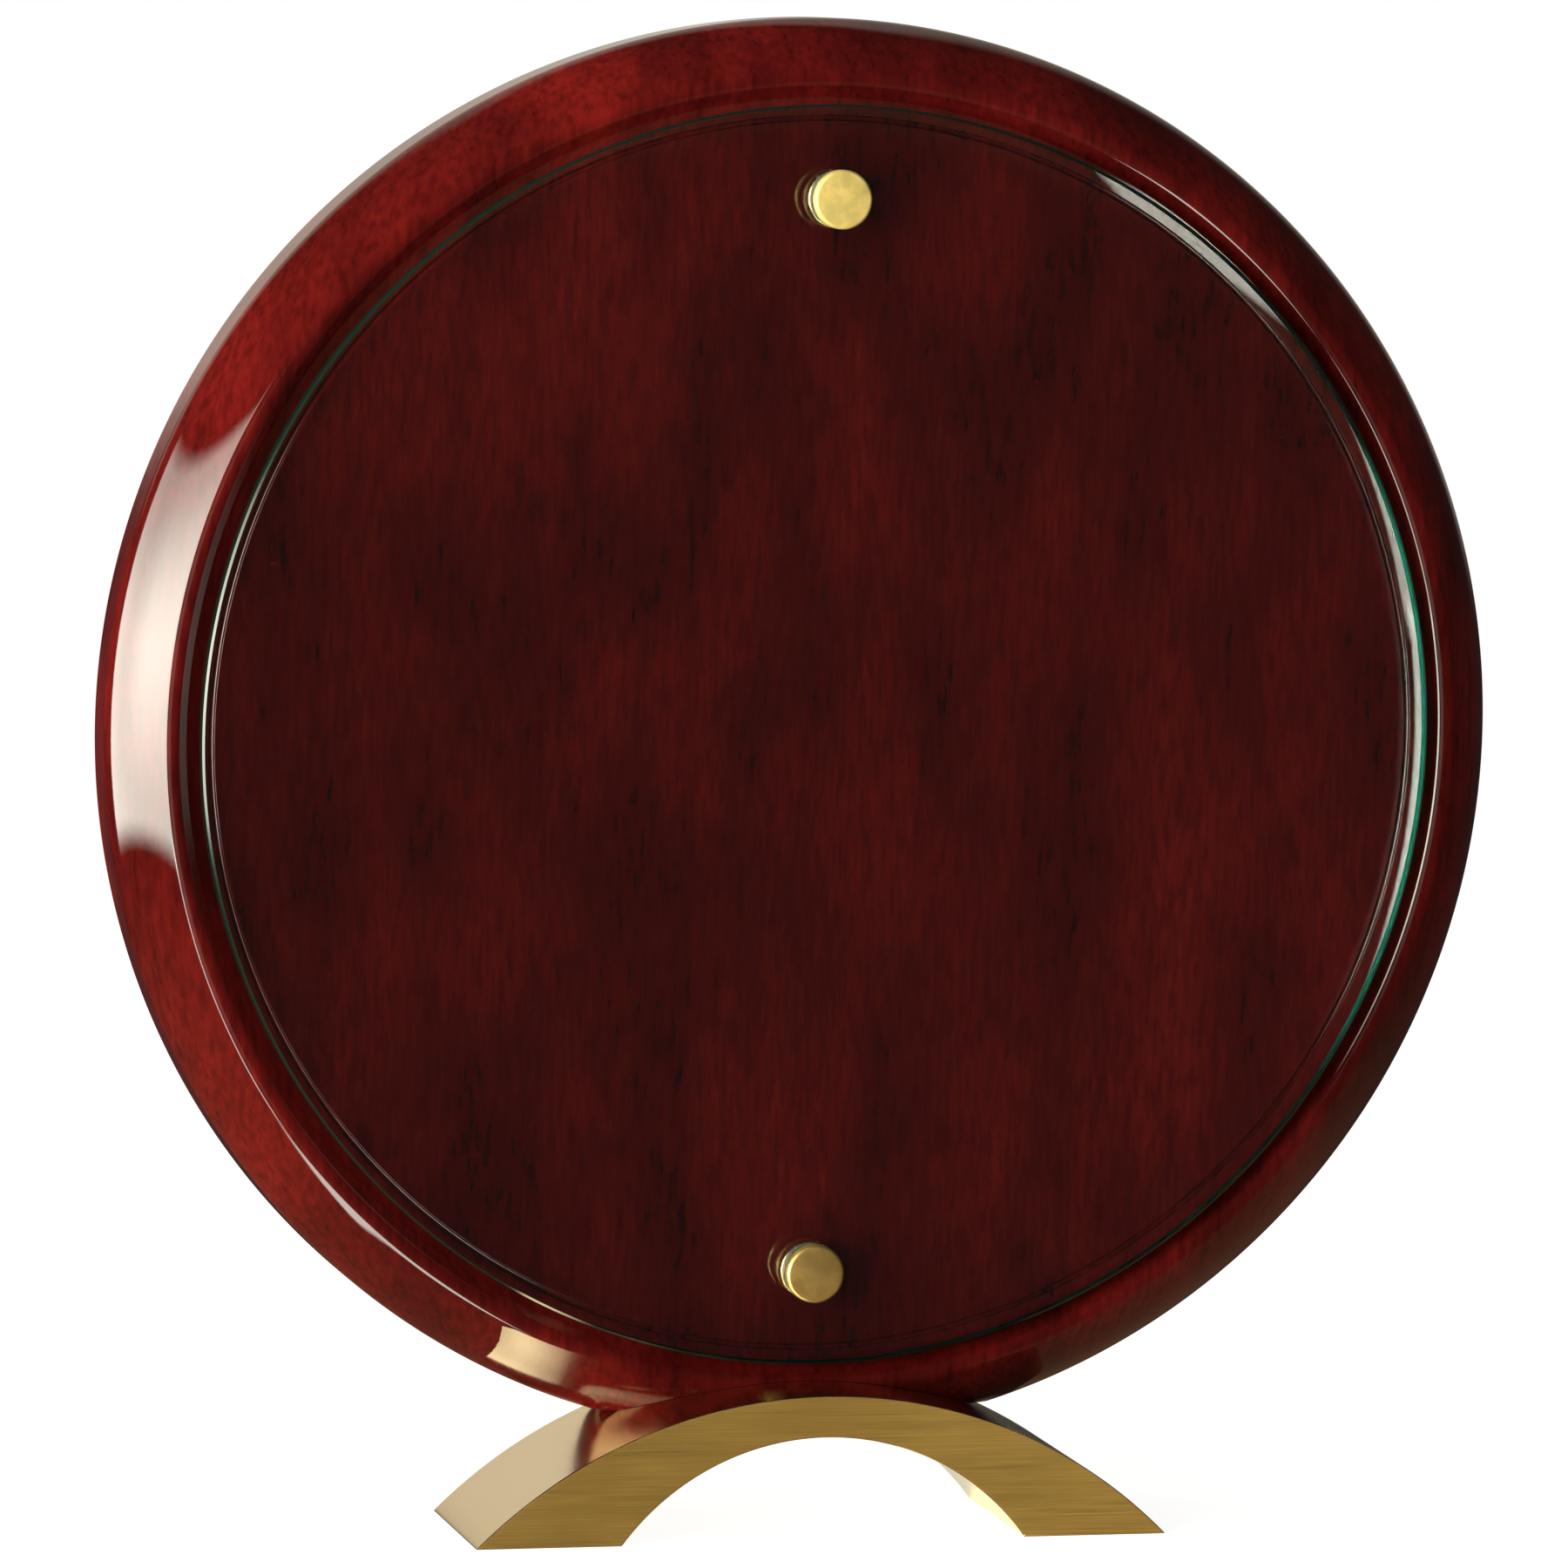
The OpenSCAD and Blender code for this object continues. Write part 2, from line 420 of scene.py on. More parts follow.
def pale_floor():
    """Plain pale paper. It glows for the camera alone, so that the shadows on it are faint and
    its glow doesn't light the object."""
    material, n = new_material("pale_floor")
    paper = n.noise((900, 900, 900), detail=2)
    seen = n.add("ShaderNodeLightPath").outputs["Is Camera Ray"]
    n.principled(
        Base_Color=n.mix(paper, (0.30, 0.30, 0.30, 1), (0.34, 0.34, 0.34, 1)),
        Roughness=0.9,
        Specular_IOR_Level=0.0,
        Emission_Color=(1, 0.995, 0.985, 1),
        Emission_Strength=n.times(seen, 0.93),
    )
    return material


# ---------------------------------------------------------------- mesh helpers


SHARP_DEG = 32            # edges sharper than this are left sharp on most pieces
THREAD_SHARP_DEG = 50
DISC_SEGMENTS = 720
SMALL_SEGMENTS = 96
FLAT_NORMAL = 0.9         # a face points forwards or back if its normal's y is past this


def link(mesh, name):
    piece = bpy.data.objects.new(name, mesh)
    bpy.context.scene.collection.objects.link(piece)
    return piece


def smooth_but_sharp(bm, sharp_deg):
    """Smooth faces, with edges sharper than sharp_deg left sharp."""
    limit = math.radians(sharp_deg)
    for face in bm.faces:
        face.smooth = True
    for edge in bm.edges:
        edge.smooth = not (len(edge.link_faces) == 2 and edge.calc_face_angle(0) > limit)


def from_bmesh(bm, name, sharp_deg=SHARP_DEG):
    """A new object from bm, smooth apart from edges sharper than sharp_deg."""
    bmesh.ops.recalc_face_normals(bm, faces=bm.faces)
    smooth_but_sharp(bm, sharp_deg)
    mesh = bpy.data.meshes.new(name)
    bm.to_mesh(mesh)
    bm.free()
    return link(mesh, name)


def spin(profile, segments, wobble=None):
    """A bmesh of (radius, along) points turned about +Y. A radius of 0 closes an end, and a
    profile with neither end closed is joined into a ring. wobble(angle, along, radius) gives a
    radius offset."""
    bm = bmesh.new()
    rings = []
    for radius, along in profile:
        if radius == 0:
            rings.append([bm.verts.new((0, along, 0))])
            continue
        ring = []
        for k in range(segments):
            angle = 2 * math.pi * k / segments
            r = radius + (wobble(angle, along, radius) if wobble else 0)
            ring.append(bm.verts.new((r * math.cos(angle), along, r * math.sin(angle))))
        rings.append(ring)
    closed = len(rings[0]) > 1 and len(rings[-1]) > 1
    pairs = list(zip(rings, rings[1:])) + ([(rings[-1], rings[0])] if closed else [])
    for first, second in pairs:
        for k in range(segments):
            m = (k + 1) % segments
            corners = [first[k % len(first)], first[m % len(first)],
                       second[m % len(second)], second[k % len(second)]]
            unique = list(dict.fromkeys(corners))
            if len(unique) > 2:
                bm.faces.new(unique)
    return bm


def bend(start, radius, slope_0, slope_1, steps):
    """An arc of the board's section: [(radius, y, slope)], where a positive slope rises to the
    front as the section runs outwards, in degrees."""
    turn = math.copysign(1, slope_1 - slope_0)
    s0 = math.radians(slope_0)
    points = []
    for i in range(steps + 1):
        s = s0 + math.radians(slope_1 - slope_0) * i / steps
        points.append((
            start[0] + radius * turn * (math.sin(s) - math.sin(s0)),
            start[1] + radius * turn * (math.cos(s) - math.cos(s0)),
            s,
        ))
    return points


def apply_modifiers(piece):
    depsgraph = bpy.context.evaluated_depsgraph_get()
    result = bpy.data.meshes.new_from_object(piece.evaluated_get(depsgraph))
    piece.modifiers.clear()
    piece.data = result


def cut(piece, cutters):
    """Takes the cutters' shapes out of piece, exactly."""
    for cutter in cutters:
        modifier = piece.modifiers.new("cut", "BOOLEAN")
        modifier.operation = "DIFFERENCE"
        modifier.solver = "EXACT"
        modifier.object = cutter
    apply_modifiers(piece)
    for cutter in cutters:
        bpy.data.objects.remove(cutter)


def bar(radius, start, end, segments=SMALL_SEGMENTS):
    """A round cutter between two points."""
    start, end = Vector(start), Vector(end)
    bm = bmesh.new()
    bmesh.ops.create_cone(
        bm, cap_ends=True, segments=segments, radius1=radius, radius2=radius,
        depth=(end - start).length,
    )
    turn = (end - start).to_track_quat("Z", "Y").to_matrix().to_4x4()
    bmesh.ops.transform(bm, matrix=Matrix.Translation((start + end) / 2) @ turn, verts=bm.verts)
    return from_bmesh(bm, "cutter")


def block(low, high):
    """A box cutter between two corners."""
    low, high = Vector(low), Vector(high)
    bm = bmesh.new()
    bmesh.ops.create_cube(bm, size=1)
    place = Matrix.Translation((low + high) / 2) @ Matrix.Diagonal((high - low).to_4d())
    place[3][3] = 1
    bmesh.ops.transform(bm, matrix=place, verts=bm.verts)
    return from_bmesh(bm, "cutter")


def mark_sharp(mesh, sharp_deg):
    """Smooth faces with edges sharper than sharp_deg left sharp."""
    bm = bmesh.new()
    bm.from_mesh(mesh)
    smooth_but_sharp(bm, sharp_deg)
    bm.to_mesh(mesh)
    bm.free()


def weigh_normals(piece):
    """Lets the large flat faces keep their own normals, with the turn taken by the small edge
    faces beside them."""
    modifier = piece.modifiers.new("weigh", "WEIGHTED_NORMAL")
    modifier.weight = 100
    modifier.keep_sharp = True
    apply_modifiers(piece)


def set_materials(piece, *materials):
    piece.data.materials.clear()
    for material in materials:
        piece.data.materials.append(material)


def stands_for(piece, node, body):
    """piece takes a CAD node's place and body: the node is hidden, and piece joins the body."""
    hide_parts(node)
    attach(piece, body)


# ---------------------------------------------------------------- board

# Radii of the section's curves, from the rim to the middle of the face, then at the back's edge
EDGE_ROLL_R = 4 * MM
BEVEL_R = 20 * MM
CREST_R = 2.6 * MM
COVE_R = 36 * MM
GROOVE_R = 0.45 * MM
GROOVE_LIP_R = 0.12 * MM
DISH_R = 16 * MM
BACK_ROLL_R = 1 * MM
# How steep the section is, in degrees, where one curve meets the next
DISH_SLOPE = 15
GROOVE_SLOPE = 88
COVE_FOOT = 26
COVE_TOP = 34
BEVEL_TOP = 30
BEVEL_FOOT = 62
FACE_RINGS = 6            # rings of faces on the flat middle of the face, and on the back
BACK_RINGS = 4
ARCH_R = 80.4 * MM
ARCH_UNDER_R = 41.1 * MM
ARCH_T = 6.7 * MM         # at the crown
SLIP = 0.05 * MM          # the gap round a piece that sits in the board
SHANK_R = 3.5 * MM
COUNTERBORE_R = 4.5 * MM
COUNTERBORE_DEPTH = 4.2 * MM
FIXING_BORE_R = 2.25 * MM
OVERCUT = 1 * MM          # how far a cutter reaches past the surface it opens
CUTTER_REACH = 0.2


def board_section():
    """The section from the middle of the face, over the rim, to the middle of the back, as
    points of (radius, y, slope), with the y of the flat middle of the face."""
    rim = [(0.0, 0.0, 0.0)]
    for radius, slope_0, slope_1, steps in (
        (DISH_R, 0, DISH_SLOPE, 10),
        (GROOVE_LIP_R, DISH_SLOPE, -GROOVE_SLOPE, 6),
        (GROOVE_R, -GROOVE_SLOPE, GROOVE_SLOPE, 10),
        (GROOVE_LIP_R, GROOVE_SLOPE, COVE_FOOT, 4),
        (COVE_R, COVE_FOOT, COVE_TOP, 12),
        (CREST_R, COVE_TOP, -BEVEL_TOP, 20),
        (BEVEL_R, -BEVEL_TOP, -BEVEL_FOOT, 30),
        (EDGE_ROLL_R, -BEVEL_FOOT, -90, 14),
    ):
        rim += bend(rim[-1], radius, slope_0, slope_1, steps)[1:]
    board_r = (board_high.x - board_low.x) / 2
    floor_r = board_r - rim[-1][0]
    floor_y = board_low.y - min(p[1] for p in rim)
    section = [(floor_r * k / FACE_RINGS, floor_y, 0.0) for k in range(FACE_RINGS)]
    section += [(floor_r + r, floor_y + y, s) for r, y, s in rim]
    corner = (board_r, board_high.y - BACK_ROLL_R)
    section += bend(corner, BACK_ROLL_R, -90, -180, 8)
    inner = section[-1][0]
    for k in reversed(range(BACK_RINGS)):
        section.append((inner * k / BACK_RINGS, board_high.y, -math.pi))
    return section, floor_y


FACE_DEPTH = board_section()[1] - board_low.y  # from the crest back to the middle of the face
ON_SECTION = 0.05 * MM    # a face this near the section lies on it
ON_SECTION_DEG = 20       # if its normal is also within this of the section's


def read(items, attribute, width=1, kind=float):
    """One attribute of a mesh's vertices, faces or face corners, as an array."""
    values = np.zeros(len(items) * width, kind)
    items.foreach_get(attribute, values)
    return values.reshape(-1, width) if width > 1 else values


def set_lathe_normals(mesh, section, centre_z):
    """Exact normals on every face that lies on the turned section, so that the lacquer's
    reflections run true past the cuts. Other faces keep their own."""
    pts = np.array([[p[0], p[1]] for p in section])
    normals = np.array([[-math.sin(p[2]), -math.cos(p[2])] for p in section])
    start, run = pts[:-1], pts[1:] - pts[:-1]
    length_2 = np.maximum((run**2).sum(1), 1e-18)

    co = read(mesh.vertices, "co", 3)
    loop_vertex = read(mesh.loops, "vertex_index", kind=int)
    centres = read(mesh.polygons, "center", 3)
    face_normals = read(mesh.polygons, "normal", 3)
    totals = read(mesh.polygons, "loop_total", kind=int)
    out = read(mesh.corner_normals, "vector", 3)

    def flat(points):
        """Points as (radius, y), and where they are from the section's axis."""
        away = points - np.array([0, 0, centre_z])
        return np.stack([np.hypot(away[:, 0], away[:, 2]), away[:, 1]], 1), away

    centre_2d, _ = flat(centres)
    best = np.full(len(centres), np.inf)
    nearest = np.zeros(len(centres), int)
    for i in range(len(start)):
        t = np.clip(((centre_2d - start[i]) @ run[i]) / length_2[i], 0, 1)
        gap = ((centre_2d - start[i] - t[:, None] * run[i]) ** 2).sum(1)
        closer = gap < best
        best[closer], nearest[closer] = gap[closer], i

    segment = np.repeat(nearest, totals)
    points_2d, away = flat(co[loop_vertex])
    t = np.clip(
        ((points_2d - start[segment]) * run[segment]).sum(1) / length_2[segment], 0, 1
    )[:, None]
    n2 = normals[segment] * (1 - t) + normals[segment + 1] * t
    radius = np.maximum(points_2d[:, 0], 1e-9)
    exact = np.stack([n2[:, 0] * away[:, 0] / radius, n2[:, 1], n2[:, 0] * away[:, 2] / radius], 1)
    exact /= np.maximum(np.linalg.norm(exact, axis=1), 1e-9)[:, None]
    agreement = (exact * np.repeat(face_normals, totals, axis=0)).sum(1)
    on_lathe = agreement > math.cos(math.radians(ON_SECTION_DEG))
    on_lathe &= np.repeat(best, totals) < ON_SECTION**2
    out[on_lathe] = exact[on_lathe]
    mesh.normals_split_custom_set(out.tolist())


def make_board(material):
    """The turned board, with its flat foot, the notch for the arch and the standoffs' bores."""
    section, floor_y = board_section()
    bm = spin([(p[0], p[1]) for p in section], DISC_SEGMENTS)
    bmesh.ops.translate(bm, vec=(0, 0, CENTRE_Z), verts=bm.verts)
    board = from_bmesh(bm, "rosewood_board")
    reach = CUTTER_REACH
    arch_z = arch_high.z - ARCH_R
    cutters = [
        block((-reach, -reach, -reach), (reach, reach, board_low.z)),
        bar(ARCH_R + SLIP, (0, -reach, arch_z), (0, reach, arch_z), DISC_SEGMENTS),
    ]
    for side in SIDES:
        z = STANDOFF_Z[side]
        shank_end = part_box(side + "_barrel")[1].y
        seat = board_high.y - COUNTERBORE_DEPTH
        cutters.append(bar(SHANK_R + SLIP, (0, floor_y - OVERCUT, z), (0, shank_end, z)))
        cutters.append(bar(FIXING_BORE_R, (0, floor_y, z), (0, board_high.y, z)))
        cutters.append(bar(COUNTERBORE_R, (0, seat, z), (0, board_high.y + OVERCUT, z)))
    cut(board, cutters)
    mark_sharp(board.data, SHARP_DEG)
    set_lathe_normals(board.data, section, CENTRE_Z)
    set_materials(board, material)
    stands_for(board, "board", ROOT)


# ---------------------------------------------------------------- glass

GLASS_HOLE_R = 2.5 * MM
GLASS_ARRIS = 0.35 * MM
GLASS_SHARP_DEG = 30


def make_glass(material, edge_material):
    """The disc, with its ground edge and two drilled holes."""
    r, t, a = glass_size.x / 2, glass_size.y, GLASS_ARRIS
    front = glass_mid.y - t / 2
    profile = [(0, front), (r - a, front), (r, front + a)]
    profile += [(r, front + t - a), (r - a, front + t), (0, front + t)]
    bm = spin(profile, DISC_SEGMENTS)
    bmesh.ops.translate(bm, vec=(0, 0, CENTRE_Z), verts=bm.verts)
    glass = from_bmesh(bm, "floating_glass")
    cut(glass, [
        bar(GLASS_HOLE_R, (0, front - OVERCUT, z), (0, front + t + OVERCUT, z))
        for z in STANDOFF_Z.values()
    ])
    mark_sharp(glass.data, GLASS_SHARP_DEG)
    set_materials(glass, material, edge_material)
    for face in glass.data.polygons:
        away = math.hypot(face.center.x, face.center.z - CENTRE_Z)
        face.material_index = int(abs(face.normal.y) < FLAT_NORMAL and away > r - 2 * a)
    stands_for(glass, "glass_disc", ROOT)


# ---------------------------------------------------------------- standoffs

CAP_RIM_R = 0.5 * MM
CAP_CROWN = 0.1 * MM      # how far the face's edge falls behind its middle
CAP_STEPS = 8             # rings across the cap's face, and round its rim
CAP_LIP = 0.12 * MM
STUD_R = 1.95 * MM
STUD_ROOT_R = 1.6 * MM
STUD_TIP_R = STUD_ROOT_R - 0.1 * MM
STUD_TIP = 0.3 * MM       # length of the stud's plain tip
THREAD_PITCH = 0.7 * MM
THREAD_STEPS = 10         # rings in each turn of a thread
THREAD_MATCH = 0.01 * MM  # how near a radius is to the stud's to be threaded
BARREL_EDGE = 0.25 * MM
BARREL_BORE_R = 2.0 * MM
CORNER_STEPS = 4
WASHER_STEPS = 6          # in each half-round edge
WASHER_GAP = 0.2 * MM     # round the stud
WASHER_SEGMENTS = 72
WASHER_SHARP_DEG = 60


def rounded(outer, front, radius, steps):
    """A quarter-round corner of a profile, from a front face out to a side."""
    turns = [math.pi / 2 * k / steps for k in range(steps + 1)]
    return [
        (outer - radius + radius * math.sin(u), front + radius - radius * math.cos(u))
        for u in turns
    ]


def thread(angle, along, radius):
    """A radius offset that turns a plain shank into a V thread. It leaves wider parts alone."""
    if abs(radius - STUD_R) > THREAD_MATCH:
        return 0.0
    phase = (along / THREAD_PITCH + angle / (2 * math.pi)) % 1
    return -(STUD_R - STUD_ROOT_R) * (1 - abs(2 * phase - 1))


def threaded_end(start, end):
    """The end of a profile: a threaded shank along Y, with a plain tip."""
    rings = round((end - start) / THREAD_PITCH * THREAD_STEPS)
    length = end - STUD_TIP - start
    points = [(STUD_R, start + length * k / rings) for k in range(rings + 1)]
    return points + [(STUD_TIP_R, end), (0, end)]


def make_cap(side, material):
    """A cap with a slightly crowned satin face, a rounded rim and a threaded stud."""
    low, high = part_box(side + "_cap")
    radius = (high.x - low.x) / 2
    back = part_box(side + "_front_washer")[0].y
    profile = []
    for k in range(CAP_STEPS):
        share = k / CAP_STEPS
        profile.append(((radius - CAP_RIM_R) * share, low.y + CAP_CROWN * share**2))
    profile += rounded(radius, low.y + CAP_CROWN, CAP_RIM_R, CAP_STEPS)
    profile += [(radius, back - CAP_LIP), (radius - CAP_LIP, back), (STUD_R + CAP_LIP, back)]
    profile += threaded_end(back, high.y)
    bm = spin(profile, SMALL_SEGMENTS, thread)
    bmesh.ops.translate(bm, vec=(0, 0, STANDOFF_Z[side]), verts=bm.verts)
    cap = from_bmesh(bm, side + "_standoff_cap", THREAD_SHARP_DEG)
    set_materials(cap, material)
    stands_for(cap, side + "_cap", side + "_cap_and_stud")


def make_barrel(side, material):
    """The collar that shows behind the glass, and the shank sunk in the board."""
    low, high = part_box(side + "_barrel")
    radius = (high.x - low.x) / 2
    collar_end = board_low.y + FACE_DEPTH
    profile = [(BARREL_BORE_R + BARREL_EDGE, low.y)]
    profile += rounded(radius, low.y, BARREL_EDGE, CORNER_STEPS)
    profile += [
        (radius, collar_end), (SHANK_R, collar_end), (SHANK_R, high.y - BARREL_EDGE),
        (SHANK_R - BARREL_EDGE, high.y), (BARREL_BORE_R, high.y),
        (BARREL_BORE_R, low.y + BARREL_EDGE),
    ]
    bm = spin(profile, SMALL_SEGMENTS)
    bmesh.ops.translate(bm, vec=(0, 0, STANDOFF_Z[side]), verts=bm.verts)
    barrel = from_bmesh(bm, side + "_standoff_barrel")
    weigh_normals(barrel)
    set_materials(barrel, material)
    stands_for(barrel, side + "_barrel", ROOT)


def make_washer(node, body, material):
    """A thin ring with rounded edges."""
    low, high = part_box(node)
    outer = (high.x - low.x) / 2
    inner = STUD_R + WASHER_GAP
    half = (high.y - low.y) / 2
    mid = (high.y + low.y) / 2
    profile = []
    for centre_r, first in ((outer - half, -90), (inner + half, 90)):
        for k in range(WASHER_STEPS + 1):
            u = math.radians(first + 180 * k / WASHER_STEPS)
            profile.append((centre_r + half * math.cos(u), mid + half * math.sin(u)))
    bm = spin(profile, WASHER_SEGMENTS)
    bmesh.ops.translate(bm, vec=(0, 0, (low.z + high.z) / 2), verts=bm.verts)
    washer = from_bmesh(bm, node + "_ring", WASHER_SHARP_DEG)
    set_materials(washer, material)
    stands_for(washer, node, body)


# ---------------------------------------------------------------- screws

SOCKET_R = 1.45 * MM
SOCKET_DEPTH = 1.4 * MM
SOCKET_SIDES = 6
SCREW_EDGE = 0.35 * MM
SCREW_SEGMENTS = 72
FILLET = 0.1 * MM         # under the screw's head


def screw(name, head_r, head_t, shank_l, place):
    """A socket-head screw with a threaded shank. Its head's bearing face is at place's origin
    and its shank runs along +Y."""
    profile = [(0, -head_t)] + rounded(head_r, -head_t, SCREW_EDGE, CORNER_STEPS)
    profile += [(head_r, 0), (STUD_R + FILLET, 0)] + threaded_end(0, shank_l)
    piece = from_bmesh(spin(profile, SCREW_SEGMENTS, thread), name, THREAD_SHARP_DEG)
    socket_end = (0, SOCKET_DEPTH - head_t, 0)
    cut(piece, [bar(SOCKET_R, (0, -head_t - OVERCUT, 0), socket_end, SOCKET_SIDES)])
    mark_sharp(piece.data, THREAD_SHARP_DEG)
    piece.data.transform(place)
    return piece


def make_screws(node, places, head_r, head_t, shank_l, material):
    """The screws of one CAD node, as one piece."""
    bm = bmesh.new()
    for i, place in enumerate(places):
        one = screw(f"{node}_{i}", head_r, head_t, shank_l, place)
        bm.from_mesh(one.data)
        bpy.data.objects.remove(one)
    screws = from_bmesh(bm, node + "_pair", THREAD_SHARP_DEG)
    weigh_normals(screws)
    set_materials(screws, material)
    stands_for(screws, node, ROOT)


def make_fixing_screws(material):
    """The screws in the board's back, which hold the barrels."""
    low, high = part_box("fixing_screws")
    seat = board_high.y - COUNTERBORE_DEPTH
    turn = Matrix.Rotation(math.pi, 4, "Z")
    places = [Matrix.Translation((0, seat, STANDOFF_Z[s])) @ turn for s in SIDES]
    head_r = (high.x - low.x) / 2
    make_screws("fixing_screws", places, head_r, high.y - seat, seat - low.y, material)


BASE_HEAD_R = 3.5 * MM
BASE_HEAD_T = 2.2 * MM
BASE_COUNTERBORE_R = 3.8 * MM


def base_screw_places():
    """Where the two base screws stand: x, y and the height of their heads' bearing faces."""
    low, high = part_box("base_screws")
    x = high.x - BASE_HEAD_R
    y = (low.y + high.y) / 2
    return [(side * x, y, low.z + BASE_HEAD_T) for side in (-1, 1)]


def make_base_screws(material):
    """The screws up through the arch's crown."""
    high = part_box("base_screws")[1]
    upright = Matrix.Rotation(math.pi / 2, 4, "X")
    spots = base_screw_places()
    places = [Matrix.Translation(spot) @ upright for spot in spots]
    shank_l = high.z - spots[0][2]
    make_screws("base_screws", places, BASE_HEAD_R, BASE_HEAD_T, shank_l, material)


# ---------------------------------------------------------------- arch

ARCH_EDGE = 0.3 * MM
ARCH_EDGE_SEGMENTS = 3
ARCH_STEPS = 160
ARCH_UNDER_STEPS = 120
ARCH_CORNER_DEG = 30      # corners sharper than this get a rounded edge
ARCH_SHARP_DEG = 35


def arc(radius, centre_z, half_width, steps):
    """Points of an arch from its left foot to its right foot."""
    end = math.asin(half_width / radius)
    return [
        (radius * math.sin(u), centre_z + radius * math.cos(u))
        for u in (end * (2 * k / steps - 1) for k in range(steps + 1))
    ]


def make_arch(brushed, polished):
    """The bent flat bar: brushed front and back, polished top, underside and edges."""
    outer_z = arch_high.z - ARCH_R
    inner_z = arch_high.z - ARCH_T - ARCH_UNDER_R
    outer = arc(ARCH_R, outer_z, math.sqrt(ARCH_R**2 - outer_z**2), ARCH_STEPS)
    under_half = math.sqrt(ARCH_UNDER_R**2 - inner_z**2)
    inner = arc(ARCH_UNDER_R, inner_z, under_half, ARCH_UNDER_STEPS)
    outline = outer + inner[::-1]
    bm = bmesh.new()
    front = [bm.verts.new((x, arch_low.y, z)) for x, z in outline]
    back = [bm.verts.new((x, arch_high.y, z)) for x, z in outline]
    bm.faces.new(front)
    bm.faces.new(back[::-1])
    for k in range(len(outline)):
        m = (k + 1) % len(outline)
        bm.faces.new((front[k], back[k], back[m], front[m]))
    bmesh.ops.recalc_face_normals(bm, faces=bm.faces)
    sharp = [e for e in bm.edges if e.calc_face_angle(0) > math.radians(ARCH_CORNER_DEG)]
    bmesh.ops.bevel(
        bm, geom=sharp, offset=ARCH_EDGE, segments=ARCH_EDGE_SEGMENTS, profile=0.6,
        affect="EDGES", clamp_overlap=True,
    )
    arch = from_bmesh(bm, "gold_arch")
    cutters = []
    for x, y, seat in base_screw_places():
        cutters.append(bar(BASE_COUNTERBORE_R, (x, y, -OVERCUT), (x, y, seat)))
        cutters.append(bar(FIXING_BORE_R, (x, y, 0), (x, y, arch_high.z + OVERCUT)))
    cut(arch, cutters)
    mark_sharp(arch.data, ARCH_SHARP_DEG)
    weigh_normals(arch)
    set_materials(arch, brushed, polished)
    for face in arch.data.polygons:
        face.material_index = int(abs(face.normal.y) <= FLAT_NORMAL)
    stands_for(arch, "arch_base", ROOT)


# ---------------------------------------------------------------- surroundings

FLOOR_R = 0.95
FLOOR_SEGMENTS = 128
FLOOR_GAP = 0.05 * MM     # the floor and the card lie this far below the feet
CARD_GAP = 0.02 * MM
CARD_CORNERS = ((0.012, -0.016), (0.042, -0.016), (0.042, 0.045), (0.012, 0.045))  # x, y
CARD_COLOUR = (0.98, 1.0, 0.87, 1)
CARD_GLOW = 0.42

# Parts of the surroundings, each as (from, to, softness) in degrees to the left of the object's
# front, as seen by someone facing it, and the same in degrees above the horizon.
SOFTBOX = ((36, 110, 2), (-15.5, 23, 4))
SOFTBOX_CORE = ((40, 85, 30), (-5, 22, 18))
LOW_STRIP = ((34, 42, 2), (-38, -14, 3))
LOW_PANEL = ((8, 44, 3), (-53, -40, 3))
FRONT_GLOW = ((9, 30, 12), (-22, 8, 16))
BACKDROP_HEIGHT = (2, 62, 6)
BACKDROP_GAP = (110, 171, 4)  # the part at the left where the backdrop starts higher

SOFTBOX_LEVEL = 14
CORE_LEVEL = 8
LOW_LEVEL = 11
SOFTBOX_COLOUR = (0.98, 1.0, 0.87)
BACKDROP_COLOUR = (1.0, 0.93, 0.78)
TABLE_COLOUR = (0.22, 0.11, 0.05)
ROOM_COLOUR = (0.03, 0.028, 0.026)
GLOW_COLOUR = (1.0, 0.86, 0.76)
FILL_COLOUR = (1.0, 0.98, 0.92)


def make_floor(material):
    """A round floor. Reflections and the glass see the dark table below it instead."""
    bm = bmesh.new()
    bmesh.ops.create_circle(bm, cap_ends=True, segments=FLOOR_SEGMENTS, radius=FLOOR_R)
    floor = from_bmesh(bm, "floor")
    floor.location.z = cad_box[0].z - FLOOR_GAP
    floor.data.materials.append(material)
    floor.visible_glossy = False
    floor.visible_transmission = False


def card_paper():
    """A brightly lit card."""
    material, n = new_material("card_paper")
    paper = n.noise((300, 300, 300), detail=2)
    n.principled(
        Base_Color=n.mix(paper, (0.7, 0.7, 0.66, 1), (0.8, 0.8, 0.75, 1)),
        Emission_Color=CARD_COLOUR,
        Emission_Strength=CARD_GLOW,
    )
    return material


def make_card(material):
    """A card on the floor under the arch's right foot. Only polished surfaces see it."""
    bm = bmesh.new()
    bm.faces.new([bm.verts.new((x, y, cad_box[0].z - CARD_GAP)) for x, y in CARD_CORNERS])
    card = from_bmesh(bm, "reflector_card")
    card.data.materials.append(material)
    card.visible_camera = False
    card.visible_diffuse = False
    card.visible_transmission = False
    card.visible_shadow = False


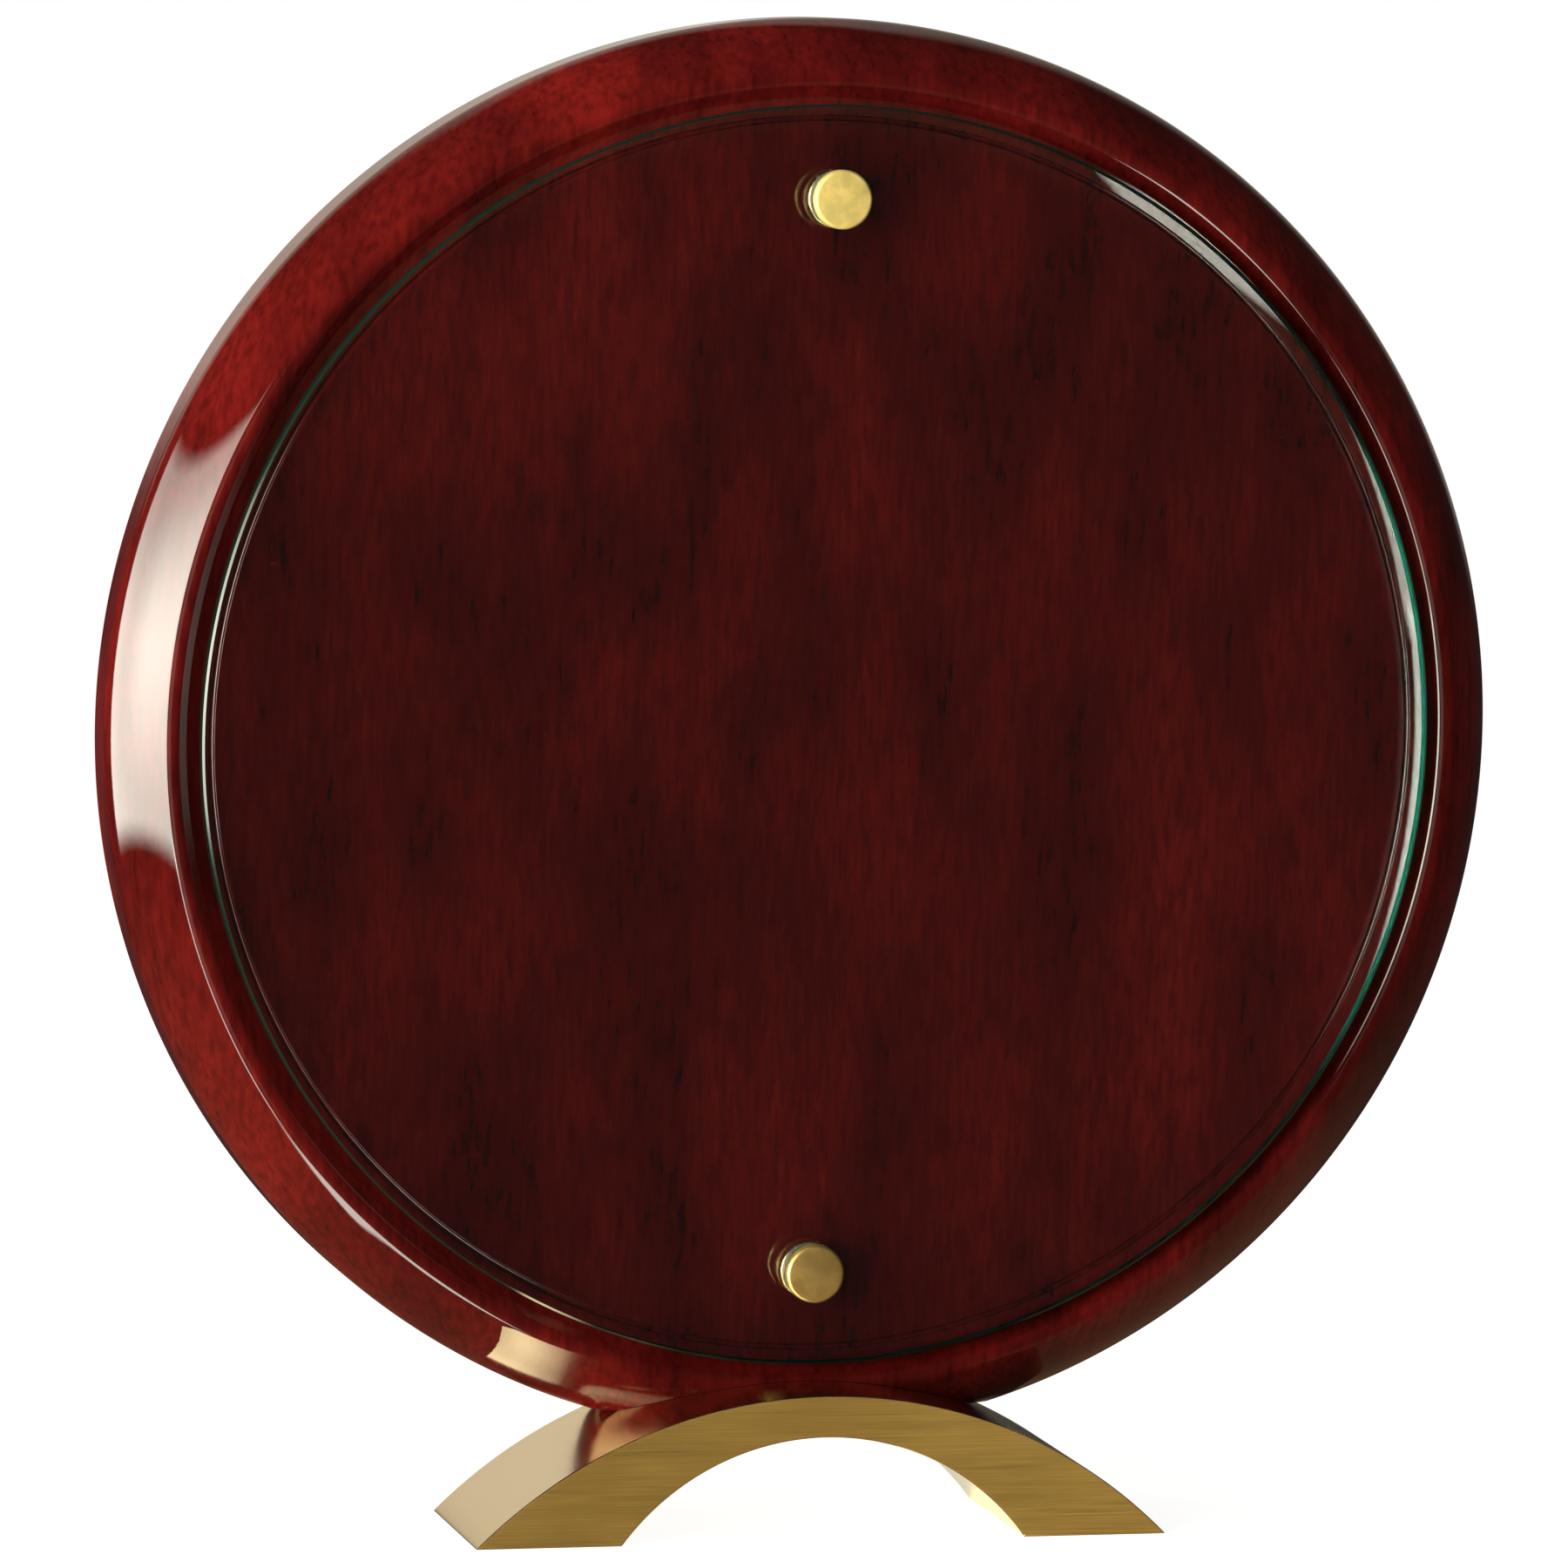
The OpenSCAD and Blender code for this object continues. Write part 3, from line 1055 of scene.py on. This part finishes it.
def make_surroundings():
    """A large softbox at the left with two low lights under it, a cream backdrop behind, a dark
    table below, and a dim room with a soft glow in front. Rough surfaces get less of the softbox
    and the backdrop than polished ones, and a soft fill instead. The camera sees plain white."""
    world = bpy.data.worlds.new("studio")
    world.use_nodes = True
    bpy.context.scene.world = world
    n = Nodes(world.node_tree)
    x, y, z = n.xyz(n.add("ShaderNodeTexCoord").outputs["Generated"])[:3]
    path = n.add("ShaderNodeLightPath").outputs
    on_rough = path["Is Diffuse Ray"]
    # degrees to the left of the object's front, and above the horizon
    around = n.times(n.math("ARCTAN2", n.times(x, -1), n.times(y, -1)), 180 / math.pi)
    height = n.times(n.math("ARCSINE", z), 180 / math.pi)

    def part(extent):
        """1 inside a part of the surroundings, with soft edges."""
        return n.times(n.band(around, *extent[0]), n.band(height, *extent[1]))

    softbox = n.times(part(SOFTBOX), n.line(part(SOFTBOX_CORE), CORE_LEVEL, SOFTBOX_LEVEL))
    softbox = n.times(softbox, n.line(n.step(height, 2, 22), -0.6, 1))
    low_lights = n.math("MAXIMUM", part(LOW_STRIP), part(LOW_PANEL))
    softbox = n.line(low_lights, LOW_LEVEL, softbox)
    gap = n.times(n.band(around, *BACKDROP_GAP), n.inverse(n.step(height, 9, 13)))
    behind = n.step(n.math("ABSOLUTE", around), 125, 145)
    backdrop = n.times(behind, n.inverse(gap), n.band(height, *BACKDROP_HEIGHT))
    fill = n.line(n.step(height, 0, 40), -0.8, 0.8)

    light = n.scaled(SOFTBOX_COLOUR, n.times(softbox, n.line(on_rough, -0.45, 1)))
    for colour, strength in (
        (BACKDROP_COLOUR, n.times(backdrop, n.line(on_rough, -0.5, 0.65))),
        (TABLE_COLOUR, n.inverse(n.step(height, -40, -14))),
        (ROOM_COLOUR, 1),
        (GLOW_COLOUR, part(FRONT_GLOW)),
        (FILL_COLOUR, n.times(on_rough, fill)),
    ):
        light = n.sum(light, n.scaled(colour, strength))
    background = n.add("ShaderNodeBackground")
    n.put(background.inputs["Color"], n.mix(path["Is Camera Ray"], light, (1, 1, 1, 1)))
    output = n.add("ShaderNodeOutputWorld")
    n.put(output.inputs["Surface"], background.outputs[0])
    bpy.context.scene.view_settings.view_transform = "Standard"


# ---------------------------------------------------------------- build

make_camera()
make_surroundings()
make_floor(pale_floor())
make_card(card_paper())

make_board(rosewood())
make_glass(clear_glass(), glass_edge())
make_arch(brushed_gold(), polished_gold())

washer_material = clear_plastic()
barrel_material = standoff_gold("standoff_gold_barrel", 0.2, (0.83, 0.62, 0.27, 1))
# The two caps are alike: the lower one's darker, deeper gold is painted shade, where less light
# falls on it, and it is also given a smoother finish
cap_materials = {
    "upper": standoff_gold("standoff_gold_satin_painted_light", 0.62, (1.0, 0.80, 0.30, 1)),
    "lower": standoff_gold("standoff_gold_smooth_painted_shade", 0.42, (0.92, 0.62, 0.20, 1)),
}
for side in SIDES:
    make_cap(side, cap_materials[side])
    make_barrel(side, barrel_material)
    make_washer(side + "_front_washer", side + "_washer_on_stud", washer_material)
    make_washer(side + "_rear_washer", ROOT, washer_material)

steel = turned_metal("plated_steel", (0.50, 0.49, 0.46, 1), (0.66, 0.65, 0.62, 1), 0.28)
make_fixing_screws(steel)
make_base_screws(steel)

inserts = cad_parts["base_inserts"]
brass = turned_metal("plain_brass", (0.62, 0.45, 0.20, 1), (0.78, 0.60, 0.28, 1), 0.3)
set_materials(inserts, brass)
